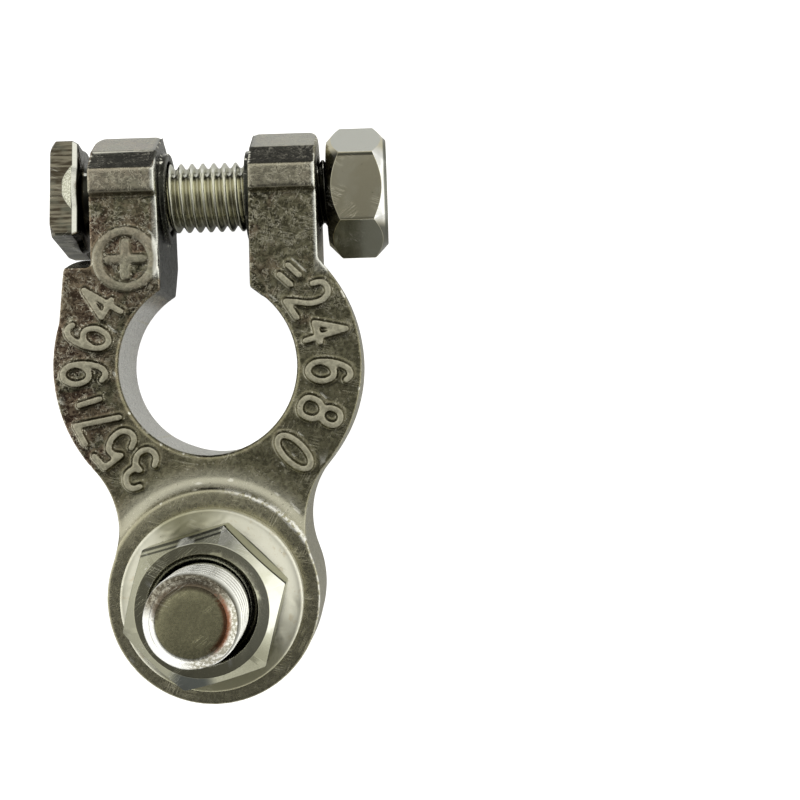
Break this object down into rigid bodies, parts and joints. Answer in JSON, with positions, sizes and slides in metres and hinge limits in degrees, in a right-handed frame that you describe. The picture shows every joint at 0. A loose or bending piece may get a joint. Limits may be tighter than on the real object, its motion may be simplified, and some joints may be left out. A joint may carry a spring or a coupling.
{
  "type": "battery terminal clamp",
  "caption": "Die-cast split-ring clamp for a tapered battery post, drawn tight by a cross bolt and nut, with an upright threaded stud, washer and nut for a ring cable lug.",
  "frame": {"origin": "axis of the post bore, on the flat back face", "axes": "+Z out of the lettered face and along the stud, +Y from the bore to the clamping ears, +X along the clamp bolt from its square head to its nut"},
  "size_m": [0.0376, 0.0644, 0.0343],
  "materials": {
    "casting": "dull nickel-plated zinc die casting",
    "clamp_hardware": "zinc-plated steel, satin",
    "stud_hardware": "nickel-plated steel, satin",
    "washer_steel": "bright plated steel"
  },
  "bodies": {
    "clamp": {"clamp_body": "casting", "terminal_bolt": "stud_hardware"},
    "clamp_bolt": {"clamp_bolt": "clamp_hardware"},
    "clamp_nut": {"clamp_nut": "clamp_hardware"},
    "washer": {"washer": "washer_steel"},
    "stud_nut": {"stud_nut": "stud_hardware"}
  },
  "joints": [
    {"name": "washer_lift", "type": "slide", "parent": "clamp", "child": "washer", "axis": [0, 0, 1], "range_m": [0, 0.0085]},
    {"name": "stud_nut_turn", "type": "hinge", "parent": "washer", "child": "stud_nut", "pos_m": [0, -0.0256, 0.022], "axis": [0, 0, 1], "range_deg": [0, 2040]},
    {"name": "clamp_nut_turn", "type": "hinge", "parent": "clamp", "child": "clamp_nut", "pos_m": [0.017, 0.0195, 0.0079], "axis": [1, 0, 0], "range_deg": [-300, 1150]},
    {"name": "clamp_bolt_draw", "type": "slide", "parent": "clamp", "child": "clamp_bolt", "axis": [1, 0, 0], "range_m": [-0.0041, 0.00105]}
  ],
  "couplings": [
    {"joint": "washer_lift", "follows": "stud_nut_turn", "m_per_rad": 0.00023873},
    {"joint": "clamp_bolt_draw", "follows": "clamp_nut_turn", "m_per_rad": -0.00019894}
  ]
}
